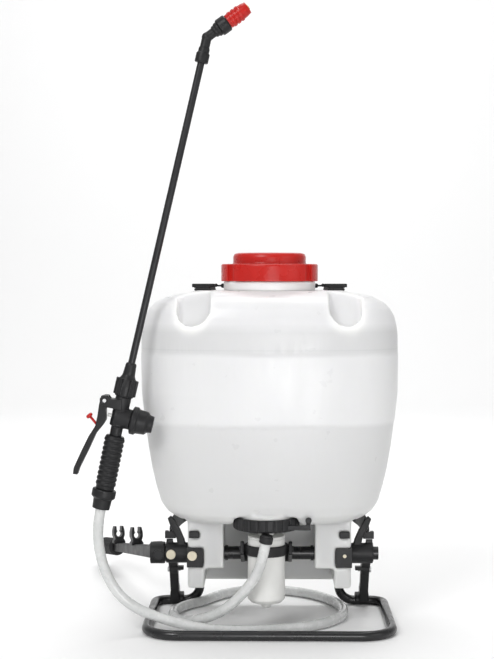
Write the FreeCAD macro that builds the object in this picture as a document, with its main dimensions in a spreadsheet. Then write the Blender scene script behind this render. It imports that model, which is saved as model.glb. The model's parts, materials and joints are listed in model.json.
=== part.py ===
"""Backpack sprayer: tank, piston pump with hand lever, carrying straps, hose and spray lance.

Millimetres. +Z is up, +Y points at the wearer's back, +X is to the right of someone facing the tank.
The origin is on the ground under the middle of the tank.
"""
import FreeCAD, Part
import math
import os

import Sketcher

V = FreeCAD.Vector
doc = FreeCAD.newDocument("BackpackSprayer")
sheet = doc.addObject("Spreadsheet::Sheet", "Sizes")

CELLS = {
    # tank
    "tank_half_width": 176.6, "tank_front_depth": 100, "tank_back_depth": 94, "tank_wall": 3.5,
    "tank_bottom": 146, "tank_top": 459, "back_hollow": 22,
    "neck_bore_radius": 50, "neck_radius": 57.5, "neck_top": 489, "boss_radius": 63, "boss_top": 471.5,
    "skirt_half_width": 112, "skirt_bottom": 55, "column_width": 24, "pillar_inner": 62,
    "skirt_front": 48, "skirt_back": 103, "wall_bottom": 42, "pillar_bottom": 82,
    "skirt_back_top": 89, "wall_front": 70,
    # lid
    "lid_radius": 66.5, "lid_bottom": 471.8, "lid_skirt_height": 23.5, "lid_height": 38.7,
    "lid_dome_radius": 50, "lid_wall": 3.2,
    # frame
    "tube_radius": 6.5, "tube_bore_radius": 5.3, "frame_half_width": 165, "frame_front": 112,
    "frame_back": 98, "socket_x": 101, "socket_y": 80, "socket_top": 96,
    # lever shaft and brackets
    "shaft_radius": 9, "shaft_y": -12, "shaft_z": 97, "shaft_half_length": 156, "running_gap": 0.06,
    "bush_radius": 12, "bearing_depth": 52, "bearing_height": 26, "bracket_inner": 131,
    "bracket_thickness": 12, "bracket_boss_radius": 14,
    # pump
    "pump_x": -4, "pump_y": -54, "cylinder_radius": 25.25, "cylinder_bore_radius": 22.5,
    "cylinder_bottom": 38.8, "cylinder_top": 126, "rod_radius": 7, "collar_radius": 45,
    "collar_bottom": 139, "collar_height": 17, "trunnion_radius": 4, "trunnion_reach": 37,
    "vessel_radius": 28.5, "vessel_height": 185,
    # lever
    "lever_length": 412, "lever_splay": 17.6, "lever_drop": 9, "lever_hub_x": -148, "lever_thickness": 12,
    "clip_bore_radius": 4.8, "clip_height": 21, "clip_near": 167, "clip_far": 300, "clip_length": 18,
    # lance
    "lance_y": -85, "valve_x": -199.5, "valve_z": 292, "lance_tilt": 13.2, "grip_tilt": 11.5,
    "lance_radius": 4.75, "lance_bore_radius": 3.4, "lance_start": 30, "lance_end": 484,
    "elbow_distance": 513.5, "nozzle_rise": 36,
    "valve_radius": 10.5, "grip_start": 25, "grip_end": 98, "hose_nut_end": 124.5,
    "trigger_x": -217.5, "trigger_z": 315, "trigger_width": 14,
    # hose
    "hose_radius": 7, "hose_bore_radius": 4.75,
    # straps
    "strap_x": 92, "strap_width": 30, "webbing": 2, "pad_width": 52, "pad_thickness": 12,
}


class Size:
    """A length that carries both its number and the spreadsheet expression that gives it."""

    def __init__(self, number, text):
        self.number = number
        self.text = text

    def __add__(self, other):
        return Size(self.number + number_of(other), "(%s + %s)" % (self.text, text_of(other)))

    def __radd__(self, other):
        return self + other

    def __sub__(self, other):
        return Size(self.number - number_of(other), "(%s - %s)" % (self.text, text_of(other)))

    def __rsub__(self, other):
        return Size(number_of(other) - self.number, "(%s - %s)" % (text_of(other), self.text))

    def __mul__(self, other):
        return Size(self.number * number_of(other), "(%s * %s)" % (self.text, text_of(other)))

    def __rmul__(self, other):
        return self * other

    def __neg__(self):
        return self * -1

    def __float__(self):
        return self.number


def number_of(value):
    return value.number if isinstance(value, Size) else float(value)


def text_of(value):
    return value.text if isinstance(value, Size) else "(%r)" % float(value)


class Cells:
    """The spreadsheet's aliases as attributes."""


s = Cells()
for row, (name, value) in enumerate(CELLS.items(), start=1):
    sheet.set("A%d" % row, name)
    sheet.set("B%d" % row, str(value))
    sheet.setAlias("B%d" % row, name)
    setattr(s, name, Size(float(value), "Sizes." + name))
doc.recompute()

NODES = []
X_AXIS = V(1, 0, 0)
Y_AXIS = V(0, 1, 0)
Z_AXIS = V(0, 0, 1)


# ---------------------------------------------------------------- helpers

def vector(x, y, z):
    return V(number_of(x), number_of(y), number_of(z))


def keep(piece, label):
    """Makes an object one of the sub-parts that are written out."""
    piece.Label = label
    NODES.append(piece)
    return piece


def bind(piece, **lengths):
    for prop, length in lengths.items():
        piece.setExpression(prop, text_of(length))


def place(piece, at, axis=Z_AXIS, base=None):
    """Puts the object's own origin at a point, with its Z axis along axis, inside an optional frame."""
    piece.Placement = FreeCAD.Placement(vector(*at), FreeCAD.Rotation(Z_AXIS, axis))
    if base is not None:
        piece.Placement = base.multiply(piece.Placement)
    return piece


def rod(name, radius, length, at, axis=Z_AXIS, base=None):
    piece = doc.addObject("Part::Cylinder", name)
    bind(piece, Radius=radius, Height=length)
    return place(piece, at, axis, base)


def ball(name, radius, at):
    piece = doc.addObject("Part::Sphere", name)
    bind(piece, Radius=radius)
    return place(piece, at)


def block(name, sides, corner, base=None):
    """A box from its lowest corner."""
    piece = doc.addObject("Part::Box", name)
    bind(piece, Length=sides[0], Width=sides[1], Height=sides[2])
    return place(piece, corner, Z_AXIS, base)


def fuse(name, *pieces):
    union = doc.addObject("Part::MultiFuse", name)
    union.Shapes = list(pieces)
    return union


def group(name, *pieces):
    """Several separate solids that share one node."""
    bunch = doc.addObject("Part::Compound", name)
    bunch.Links = list(pieces)
    return bunch


def cut(name, base, *tools):
    rest = doc.addObject("Part::Cut", name)
    rest.Base = base
    rest.Tool = tools[0] if len(tools) == 1 else fuse(name + "Tools", *tools)
    return rest


def solid(name, shape):
    """An object for a shape made with Part's own functions."""
    piece = doc.addObject("Part::Feature", name)
    piece.Shape = shape
    return piece


def draw(body, role, corners):
    """A closed outline on one of the body's own planes, with every corner tied to the sheet."""
    plane = [feature for feature in body.Origin.OriginFeatures if feature.Role == role][0]
    drawing = body.newObject("Sketcher::SketchObject", body.Name + "Outline")
    drawing.AttachmentSupport = [(plane, "")]
    drawing.MapMode = "FlatFace"
    points = [vector(u, v, 0) for u, v in corners]
    for index, point in enumerate(points):
        following = points[(index + 1) % len(points)]
        drawing.addGeometry(Part.LineSegment(point, following), False)
    for index in range(len(points)):
        drawing.addConstraint(Sketcher.Constraint("Coincident", index, 2, (index + 1) % len(points), 1))
    for index, corner in enumerate(corners):
        for kind, length in zip(("DistanceX", "DistanceY"), corner):
            number = drawing.addConstraint(Sketcher.Constraint(kind, -1, 1, index, 1, number_of(length)))
            if isinstance(length, Size):
                drawing.setExpression("Constraints[%d]" % number, length.text)
    return drawing


def turned(name, outline, at, axis=Z_AXIS):
    """A body of revolution from (radius, height) corners."""
    body = doc.addObject("PartDesign::Body", name)
    drawing = draw(body, "XZ_Plane", outline)
    spin = body.newObject("PartDesign::Revolution", name + "Spin")
    spin.Profile = drawing
    spin.ReferenceAxis = (drawing, ["V_Axis"])
    spin.Angle = 360
    return place(body, at, axis)


def plate(name, outline, thickness, placement, middle=True):
    """A flat piece padded from an outline in the placement's own XY plane."""
    body = doc.addObject("PartDesign::Body", name)
    drawing = draw(body, "XY_Plane", outline)
    pad = body.newObject("PartDesign::Pad", name + "Pad")
    pad.Profile = drawing
    pad.SideType = "Symmetric" if middle else "One side"
    bind(pad, Length=thickness)
    body.Placement = placement
    return body


def frame_of(at, x_axis, y_axis):
    """A placement whose own X and Y axes point along the given directions."""
    return FreeCAD.Placement(vector(*at), FreeCAD.Rotation(x_axis, y_axis, x_axis.cross(y_axis), "XYZ"))


def rounded_path(points, radii):
    """Straight runs joined by tangent arcs."""
    edges = []
    start = points[0]
    for before, corner, after, radius in zip(points, points[1:], points[2:], radii):
        arrive = (corner - before).normalize()
        leave = (after - corner).normalize()
        half_turn = arrive.getAngle(leave) / 2
        reach = radius * math.tan(half_turn)
        first = corner - arrive * reach
        last = corner + leave * reach
        inward = (leave - arrive).normalize()
        middle = corner + inward * (radius / math.cos(half_turn) - radius)
        edges.append(Part.LineSegment(start, first).toShape())
        edges.append(Part.Arc(first, middle, last).toShape())
        start = last
    edges.append(Part.LineSegment(start, points[-1]).toShape())
    return Part.Wire(edges)


def tube_along(path, first_direction, start, radius, bore_radius):
    """A round tube along a path, open at both ends."""
    walls = []
    for size in (radius, bore_radius):
        ring = Part.Wire([Part.makeCircle(size, start, first_direction)])
        walls.append(path.makePipeShell([ring], True, False))
    return walls[0].cut(walls[1])


# ---------------------------------------------------------------- tank

# How far the tank's side lies inside its widest place, by height: (height, inset).
TANK_PROFILE = [
    (146, 60), (150, 46), (158, 34.5), (170, 26.5), (192, 20), (214, 14.8), (247, 9.3), (280, 5.2),
    (321, 0.8), (374, 0), (401, 0.2), (413, 2), (424, 4.8), (435, 10.6), (444, 20), (450, 33),
    (455, 54), (459, 78),
]
INSET_SHARE = 0.45
BACK_INSET_SHARE = 0.22
FRONT_SQUARENESS = 2.7
BACK_SQUARENESS = 4.2
OUTLINE_POINTS = 36


def tank_outline(half_width, front, back, hollow, height):
    """One level of the tank: a bulging front, full sides and a back hollowed for the wearer."""
    points = []
    for step in range(OUTLINE_POINTS):
        angle = 2 * math.pi * (step + 0.5) / OUTLINE_POINTS
        across = math.cos(angle)
        along = math.sin(angle)
        squareness = BACK_SQUARENESS if along > 0 else FRONT_SQUARENESS
        depth = back if along > 0 else front
        x = half_width * math.copysign(abs(across) ** (2 / squareness), across)
        y = depth * math.copysign(abs(along) ** (2 / squareness), along)
        if along > 0:
            y -= hollow * math.exp(-((x / (0.42 * half_width)) ** 4)) * along
        points.append(V(x, y, height))
    curve = Part.BSplineCurve()
    curve.interpolate(points, PeriodicFlag=True)
    return Part.Wire([curve.toShape()])


def hollow_at(height):
    """How deep the back is hollowed: fully at the wearer's back, little at the tank's two ends."""
    from_end = min(height - s.tank_bottom.number, s.tank_top.number - height)
    return s.back_hollow.number * min(1, 0.3 + 0.7 * from_end / 80)


def tank_form(wall):
    """The tank's closed outer form, or its hollow when a wall is taken off all round."""
    middle = (s.tank_bottom.number + s.tank_top.number) / 2
    full_height = s.tank_top.number - s.tank_bottom.number
    shrink = (full_height - 2 * wall) / full_height
    levels = []
    for height, inset in TANK_PROFILE:
        levels.append(tank_outline(
            s.tank_half_width.number - inset - wall,
            s.tank_front_depth.number - inset * INSET_SHARE - wall,
            s.tank_back_depth.number - inset * BACK_INSET_SHARE - wall,
            hollow_at(height),
            middle + (height - middle) * shrink))
    return Part.makeLoft(levels, True, True)


def skirt_form(wall):
    """Two columns, two pillars beside the pump and the wall behind it, which carry the tank."""
    low = s.skirt_bottom.number + wall
    high = s.tank_bottom.number + 14 - wall
    half = s.skirt_half_width.number - wall
    front = -s.skirt_front.number + wall
    back = s.skirt_back.number - wall
    inner = s.skirt_half_width.number - s.column_width.number + wall
    pillar = s.pillar_inner.number + wall
    pieces = []
    for side in (-1, 1):
        column = Part.makeBox(half - inner, back - front, high - low,
                              V(inner if side > 0 else -half, front, low))
        shelf_low = s.pillar_bottom.number + wall
        shelf = Part.makeBox(inner - pillar + 1, 68 - 2 * wall, high - shelf_low,
                             V(pillar if side > 0 else -inner - 1, front, shelf_low))
        pieces += [column, shelf]
    wall_low = s.wall_bottom.number + wall
    wall_front = s.wall_front.number + wall
    pieces.append(Part.makeBox(2 * half, back - wall_front, high - wall_low, V(-half, wall_front,
        wall_low)))
    form = pieces[0]
    for piece in pieces[1:]:
        form = form.fuse(piece)
    slope = [V(-200, y, z) for y, z in (
        (back, s.skirt_bottom.number), (s.skirt_back_top.number - wall, high + 20), (160, high + 20),
        (160, s.skirt_bottom.number))]
    behind = Part.Face(Part.makePolygon(slope + slope[:1])).extrude(V(400, 0, 0))
    form = form.removeSplitter()
    upright = [edge for edge in form.Edges if edge.BoundBox.ZLength > high - low - 20
               and edge.BoundBox.XLength + edge.BoundBox.YLength < 0.01]
    corners = [edge for edge in upright if abs(abs(edge.CenterOfMass.x) - half) < 0.01]
    return form.makeFillet(8 - wall / 2, corners).cut(behind)


def strap_channel(side, wall):
    """The round-ended channel down the front of a shoulder, under a strap hook."""
    centre = 101 * side
    low = 412 - wall
    channel = Part.makeBox(44 + 2 * wall, 60, 80, V(centre - 22 - wall, -124 + wall, low + 22))
    channel = channel.fuse(Part.makeCylinder(22 + wall, 60, V(centre, -124 + wall, low + 22), Y_AXIS))
    channel.rotate(V(centre, -82, 430), X_AXIS, -28)
    return channel


def pump_pocket(wall):
    """The recess in the tank's underside that the pump collar turns in."""
    return Part.makeCylinder(s.collar_radius.number + 4 + wall, 40,
                             vector(s.pump_x, s.pump_y, 118 + wall))


def bearing_seat(side, wall):
    """The notch in the front of a column that the shaft's bearing block sits in."""
    width = s.column_width.number - 2 + wall
    low = s.shaft_z.number - s.bearing_height.number / 2 - wall
    corner = s.skirt_half_width.number - s.column_width.number + 2 - wall
    return Part.makeBox(width + 1, s.bearing_depth.number + 1 + wall, s.bearing_height.number + 2 * wall,
                        V(corner if side > 0 else -corner - width - 1, -s.skirt_front.number - 3, low))


def make_tank():
    wall = s.tank_wall.number
    shaft_centre = vector(-130, s.shaft_y, s.shaft_z)
    tunnel_radius = s.shaft_radius.number + 0.5
    neck_base = 452
    outer = tank_form(0).fuse(skirt_form(0))
    outer = outer.cut(pump_pocket(0))
    hollow = tank_form(wall).fuse(skirt_form(wall))
    hollow = hollow.cut(pump_pocket(wall))
    for side in (-1, 1):
        outer = outer.cut(strap_channel(side, 0))
        hollow = hollow.cut(strap_channel(side, wall))
        top = vector(s.socket_x * side, s.socket_y, s.socket_top)
        down = vector(s.socket_x * side, s.frame_back, s.tube_radius) - top
        lean = down * (wall / down.Length)
        hollow = hollow.cut(Part.makeCylinder(s.tube_radius.number + wall, 60, top - lean, down))
        outer = outer.cut(Part.makeCylinder(s.tube_radius.number, 60, top, down))
    hollow = hollow.cut(Part.makeCylinder(tunnel_radius + 6, 260, shaft_centre, X_AXIS))
    outer = outer.cut(Part.makeCylinder(tunnel_radius, 260, shaft_centre, X_AXIS))
    for side in (-1, 1):
        outer = outer.cut(bearing_seat(side, 0))
        hollow = hollow.cut(bearing_seat(side, wall))
        peg_hole = Part.makeBox(14, 10, 9, V(102 * side - 7, -s.skirt_front.number - 1, 124))
        outer = outer.cut(peg_hole)
        hollow = hollow.cut(Part.makeBox(20, 15, 15, V(102 * side - 10, -s.skirt_front.number, 121)))
    boss = Part.makeCylinder(s.boss_radius.number, s.boss_top.number - neck_base, V(0, 0, neck_base))
    neck = Part.makeCylinder(s.neck_radius.number, s.neck_top.number - neck_base, V(0, 0, neck_base))
    thread = Part.makeCylinder(s.neck_radius.number + 1.4, 2.4, V(0, 0, 479))
    mouth = Part.makeCylinder(s.neck_bore_radius.number, 60, V(0, 0, neck_base - 10))
    collar = boss.fuse(neck).fuse(thread).cut(mouth).cut(outer)
    keep(solid("FillerNeck", collar), "filler_neck")
    pump_neck = Part.makeCylinder(39, 14, vector(s.pump_x, s.pump_y, 147))
    pump_bore = Part.makeCylinder(29.6, 30, vector(s.pump_x, s.pump_y, 140))
    shell = outer.cut(hollow.fuse(mouth)).fuse(pump_neck).cut(pump_bore)
    return keep(solid("Tank", shell), "tank")


def make_strainer():
    flange = 1.2
    top = s.neck_top + flange
    wall = 2
    radius = s.neck_bore_radius - 1.5
    depth = 62
    cup = turned("StrainerCup", [
        (0, -depth), (radius, -depth), (radius, -flange), (s.neck_radius - 1.5, -flange),
        (s.neck_radius - 1.5, 0),
        (radius - wall, 0), (radius - wall, wall - depth), (0, wall - depth)], (0, 0, top))
    slots = []
    for number in range(6):
        slot = block("StrainerSlot%d" % number, (2 * s.neck_radius, 9, depth - 18),
                     (-s.neck_radius, -4.5, top - depth + 8))
        turn = FreeCAD.Placement(V(0, 0, 0), FreeCAD.Rotation(Z_AXIS, 30 * number))
        slot.Placement = turn.multiply(slot.Placement)
        slots.append(slot)
    keep(cut("Strainer", cup, *slots), "strainer_basket")


# ---------------------------------------------------------------- lid

def make_lid():
    rim = s.lid_skirt_height
    form = turned("LidForm", [
        (0, s.lid_height), (s.lid_dome_radius - 6, s.lid_height),
        (s.lid_dome_radius - 1.5, s.lid_height - 1.6),
        (s.lid_dome_radius, s.lid_height - 5.5), (s.lid_dome_radius, rim), (s.lid_radius - 1.5, rim),
        (s.lid_radius, rim - 1.5), (s.lid_radius, 0), (s.lid_radius - 6, 0),
        (s.lid_radius - 6, rim - s.lid_wall),
        (s.lid_dome_radius - s.lid_wall, rim - s.lid_wall),
        (s.lid_dome_radius - s.lid_wall, s.lid_height - s.lid_wall - 4),
        (s.lid_dome_radius - s.lid_wall - 4, s.lid_height - s.lid_wall), (0, s.lid_height - s.lid_wall)],
        (0, 0, s.lid_bottom))
    notches = []
    for angle in (53.5, 126.5, 233.5, 306.5):
        notch = block("LidNotch%d" % angle, (20, 13, s.lid_skirt_height + 2),
            (62, -6.5, s.lid_bottom - 1))
        turn = FreeCAD.Placement(V(0, 0, 0), FreeCAD.Rotation(Z_AXIS, angle - 90))
        notch.Placement = turn.multiply(notch.Placement)
        notches.append(notch)
    keep(cut("Lid", form, *notches), "lid")
    under = s.lid_bottom + rim - s.lid_wall
    keep(turned("LidGasket", [(50.5, -1.8), (57.3, -1.8), (57.3, 0),
        (50.5, 0)], (0, 0, under)), "lid_gasket")


# ---------------------------------------------------------------- frame and brackets

def make_frame_tube():
    ground = s.tube_radius
    half = [
        (s.socket_x, s.socket_y, s.socket_top), (s.socket_x, s.frame_back, ground),
        (s.frame_half_width, s.frame_back, ground), (s.frame_half_width, -s.frame_front, ground),
    ]
    right = [vector(*point) for point in half]
    left = [V(-point.x, point.y, point.z) for point in reversed(right)]
    foot_bend, back_bend, front_bend = 22, 20, 45
    path = rounded_path(right + left, [foot_bend, back_bend, front_bend, front_bend, back_bend,
        foot_bend])
    tube = tube_along(path, right[1] - right[0], right[0], s.tube_radius.number,
        s.tube_bore_radius.number)
    keep(solid("FrameTube", tube), "frame_tube")


BRACKET_BOLTS = ((68, 58), (24, 90))
BOLT_RADIUS = 3


def make_bracket(side, label):
    """The black side bracket: shaft bearing, strut to the frame and horn that guides the strap."""
    inner = s.bracket_inner
    flat = frame_of(((inner + s.bracket_thickness * 0.5) * side, 0, 0), Y_AXIS, Z_AXIS)
    name = "Bracket" + label.title()
    strut = plate(name + "Strut", [
        (-22, 104), (-12, 111), (6, 107), (36, 98), (72, 66), (92, 34), (110, 24), (110, 7.5), (86, 7.5),
        (79, 26), (62, 52), (28, 78), (-6, 84)], s.bracket_thickness, flat)
    boss = rod(name + "Boss", s.bracket_boss_radius, 30, ((s.skirt_half_width + 0.5) * side,
        s.shaft_y, s.shaft_z),
               X_AXIS * side)
    saddle = rod(name + "Saddle", 12, 20, (124.5 * side, s.frame_back, s.tube_radius), X_AXIS * side)
    rib = block(name + "Rib", (20, 10, 5), ((inner - 9) * side - (20 if side < 0 else 0), 44, 61))
    horn = plate(name + "Horn", [
        (113, 96), (124, 96), (128, 118), (137, 136), (140, 145), (136, 148.5), (131, 144), (123, 130),
        (117, 116)], 9, frame_of((0, -14, 0), X_AXIS * side, Z_AXIS))
    lug = block(name + "Lug", (9, 5, 10), (133 * side - (9 if side < 0 else 0), -14.5, 106))
    floor_gap = block(name + "Floor", (60, 60, 12), (134 * side - 30, s.frame_back - 30, -5.5))
    tube_seat = rod(name + "Seat", s.tube_radius, 60, (105 * side, s.frame_back, s.tube_radius),
        X_AXIS * side)
    bore = rod(name + "Bore", s.bush_radius, 60, (105 * side, s.shaft_y, s.shaft_z), X_AXIS * side)
    holes = [rod("%sHole%d" % (name, number), BOLT_RADIUS, 60, (105 * side, y, z), X_AXIS * side)
             for number, (y, z) in enumerate(BRACKET_BOLTS)]
    whole = fuse(name + "Whole", strut, boss, saddle, rib, horn, lug)
    keep(cut(name, whole, floor_gap, tube_seat, bore, *holes), "side_bracket_" + label)


def make_shaft_bushes():
    """A bearing block let into each column, with a sleeve that reaches out through the bracket."""
    bushes = []
    for side, label in ((-1, "Left"), (1, "Right")):
        column = s.skirt_half_width - s.column_width + 2
        base = block("BearingBlock" + label, (s.column_width - 2, s.bearing_depth, s.bearing_height),
                     (column if side > 0 else -s.skirt_half_width, -s.skirt_front - 2,
                      s.shaft_z - s.bearing_height * 0.5))
        sleeve = rod("Bush" + label, s.bush_radius, 32, ((s.skirt_half_width - 1) * side,
            s.shaft_y, s.shaft_z),
                     X_AXIS * side)
        bore = rod("BushBore" + label, s.shaft_radius + s.running_gap, 80,
                   ((column - 5) * side, s.shaft_y, s.shaft_z), X_AXIS * side)
        bushes.append(cut("BushCut" + label, fuse("BushBody" + label, base, sleeve), bore))
    keep(group("ShaftBushes", *bushes), "shaft_bushes")


def make_fasteners():
    """Bolts through the bracket struts, pegs in the skirt and pins at the bearings."""
    bolts = []
    for side, label in ((-1, "Left"), (1, "Right")):
        for number, (y, z) in enumerate(BRACKET_BOLTS):
            head_x = s.bracket_inner + s.bracket_thickness
            head = rod("BoltHead%s%d" % (label, number), 4.5, 3, (head_x * side, y, z), X_AXIS * side)
            shank = rod("BoltShank%s%d" % (label, number), BOLT_RADIUS, s.bracket_thickness + 4,
                        ((head_x - s.bracket_thickness - 4) * side, y, z), X_AXIS * side)
            bolts.append(fuse("Bolt%s%d" % (label, number), head, shank))
    keep(group("BracketBolts", *bolts), "bracket_bolts")
    pegs = []
    for side, label in ((-1, "Left"), (1, "Right")):
        pegs.append(block("Peg" + label, (14, 12, 9), (102 * side - 7, -s.skirt_front - 3, 124)))
    keep(group("SkirtPegs", *pegs), "skirt_pegs")
    front = -s.skirt_front - 2
    plugs = [rod("PlugLeft", 6.5, 3, (-104.5, front - 3, s.shaft_z + 3), Y_AXIS),
             rod("PlugRight", 2.5, 2, (102, front - 2, s.shaft_z + 3), Y_AXIS)]
    boss_front = s.shaft_y - s.bracket_boss_radius
    head = rod("PlugBoss", 6.5, 6, (-135, boss_front - 3, s.shaft_z), Y_AXIS)
    boss = rod("PlugBossRoom", s.bracket_boss_radius, 40, (-155, s.shaft_y, s.shaft_z), X_AXIS)
    plugs.append(cut("PlugBossCut", head, boss))
    keep(group("BearingPlugs", *plugs), "bearing_plugs")


# ---------------------------------------------------------------- pump

def pump_axis(height):
    return (s.pump_x, s.pump_y, height)


def make_pump_fixed():
    """What hangs from the tank's underside and stays still."""
    ring = turned("CollarRing", [
        (30, 0), (s.collar_radius - 2, 0), (s.collar_radius, 2), (s.collar_radius, s.collar_height),
        (39.4, s.collar_height), (39.4, 3), (30, 3)], pump_axis(s.collar_bottom))
    ribs = []
    for number in range(24):
        rib = block("CollarGroove%d" % number, (3, 2.4, s.collar_height + 2),
                    (s.collar_radius - 1.4, -1.2, s.collar_bottom - 1))
        turn = FreeCAD.Placement(vector(s.pump_x, s.pump_y, 0), FreeCAD.Rotation(Z_AXIS, 15 * number))
        rib.Placement = turn.multiply(rib.Placement)
        ribs.append(rib)
    keep(cut("PumpCollar", ring, *ribs), "pump_collar")
    keep(turned("PumpHead", [
        (4, -8.6), (11, -8.6), (11, 0), (29.6, 0), (29.6, 3.2), (38.8, 3.2), (38.8, 7.8), (4, 7.8)],
        pump_axis(s.collar_bottom)), "pump_head")
    keep(turned("PressureVessel", [
        (4, 8), (s.vessel_radius, 8), (s.vessel_radius, s.vessel_height - 12),
        (s.vessel_radius - 12, s.vessel_height), (0, s.vessel_height), (0, s.vessel_height - 3),
        (s.vessel_radius - 13, s.vessel_height - 3), (s.vessel_radius - 3, s.vessel_height - 13),
        (s.vessel_radius - 3, 11), (4, 11)], pump_axis(s.collar_bottom)), "pressure_vessel")
    rod_bottom = 84
    keep(turned("PistonRod", [
        (3.9, s.collar_bottom - 2), (3.9, s.collar_bottom - 8.6), (s.rod_radius, s.collar_bottom - 8.6),
        (s.rod_radius, 96),
        (12, 94), (12, 92), (s.rod_radius, 92), (s.rod_radius, rod_bottom + 2), (10, rod_bottom + 2),
        (10, rod_bottom), (3, rod_bottom), (3, s.collar_bottom - 2)], pump_axis(0)), "piston_rod")
    cup = s.cylinder_bore_radius - s.running_gap
    keep(turned("PistonCup", [
        (s.rod_radius, 86), (cup - 4, 86), (cup, 88), (cup, 91.9), (s.rod_radius, 91.9)], pump_axis(0)),
        "piston_cup")
    latch = fuse("LatchWhole",
                 block("LatchFoot", (30, 5.5, 6), (s.pump_x + 28, s.pump_y - 35, s.collar_bottom + 3)),
                 block("LatchHook", (6, 5.5, 15), (s.pump_x + 53, s.pump_y - 35, s.collar_bottom + 3)),
                 rod("LatchKnob", 4.2, 4, (s.pump_x + 56, s.pump_y - 36.5, s.collar_bottom + 16), Y_AXIS))
    clearing = rod("LatchClearing", s.collar_radius + 0.05, 40, pump_axis(s.collar_bottom - 5))
    keep(cut("CollarLatch", latch, clearing), "collar_latch")


OUTLET = V(-5, -96, 126)
OUTLET_UP = V(4.5, -1.5, 25).normalize()


def make_outlet():
    """The elbow that brings the liquid from the pump head forward and down into the hose."""
    level = 134.4
    pipe_start = V(s.pump_x.number, s.pump_y.number - 10, level)
    pipe = rod("OutletPipe", 3.9, OUTLET.y * -1 + pipe_start.y, pipe_start, -Y_AXIS)
    nut = turned("OutletNut", [
        (4.6, 0), (8.5, 0), (9, 1), (9, 8), (7.6, 9), (7.6, 11.5), (0, 11.5), (0, 8),
        (4.6, 8)], OUTLET, OUTLET_UP)
    keep(fuse("OutletElbow", pipe, nut), "outlet_elbow")


def make_pump_cylinder():
    cap_height = 3.8
    keep(turned("PumpCylinder", [
        (0, 0), (s.cylinder_radius - 5, 0), (s.cylinder_radius, 5),
        (s.cylinder_radius, s.cylinder_top - s.cylinder_bottom),
        (s.cylinder_bore_radius, s.cylinder_top - s.cylinder_bottom), (s.cylinder_bore_radius, 6),
        (0, 6)], pump_axis(s.cylinder_bottom)), "pump_cylinder")
    keep(turned("CylinderCap", [
        (s.rod_radius + s.running_gap, 0), (s.cylinder_radius, 0), (s.cylinder_radius, cap_height - 1),
        (s.cylinder_radius - 1, cap_height), (12, cap_height), (s.rod_radius + s.running_gap,
        cap_height)],
        pump_axis(s.cylinder_top)), "cylinder_cap")
    keep(turned("FootValve", [
        (0, 0), (5, 0), (6.5, 1.5), (8, 7.5), (0, 7.5)], pump_axis(s.cylinder_bottom - 7.5)),
        "foot_valve")
    band = turned("TrunnionRing", [
        (s.cylinder_radius, 103.6), (29, 103.6), (29, 117.6), (s.cylinder_radius, 117.6)], pump_axis(0))
    trunnion_height = 110.6
    pins = []
    for side in (-1, 1):
        pins.append(rod("Trunnion%d" % (side + 1), s.trunnion_radius, s.trunnion_reach - 27.5,
                        (s.pump_x + 27.5 * side, s.pump_y, trunnion_height), X_AXIS * side))
    keep(fuse("TrunnionBand", band, *pins), "trunnion_band")


# ---------------------------------------------------------------- lever

def lever_frame():
    """The lever's own frame: X runs out along the arm, Z stands up from it."""
    splay = math.radians(s.lever_splay.number)
    drop = math.radians(s.lever_drop.number)
    out = V(-math.sin(splay) * math.cos(drop), math.cos(splay) * math.cos(drop), -math.sin(drop))
    aside = V(-math.cos(splay), -math.sin(splay), 0)
    start = (s.lever_hub_x, s.shaft_y, s.shaft_z)
    return frame_of(start, out, aside)


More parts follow.
